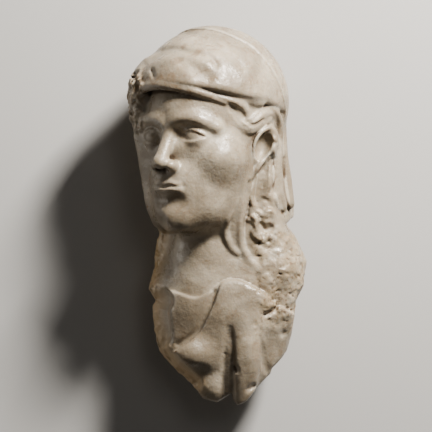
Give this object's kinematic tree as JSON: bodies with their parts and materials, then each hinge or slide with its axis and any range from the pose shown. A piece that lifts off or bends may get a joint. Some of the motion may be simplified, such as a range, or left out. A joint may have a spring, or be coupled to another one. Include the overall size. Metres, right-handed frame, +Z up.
{
  "type": "marble head sculpture",
  "caption": "Marble head in a cap and veil, turned to one side, with its neck and a broken piece of draped chest, lying on its back.",
  "frame": {"origin": "middle of the bounding box's underside, on the surface that the head lies on", "axes": "+Z up out of the face of the chest, +Y towards the crown, +X towards the figure's left"},
  "size_m": [0.1408, 0.3014, 0.1223],
  "materials": {
    "marble": "worn polished white marble with brown dirt in its hollows"
  },
  "bodies": {
    "root": {"marble_head": "marble"}
  },
  "joints": []
}
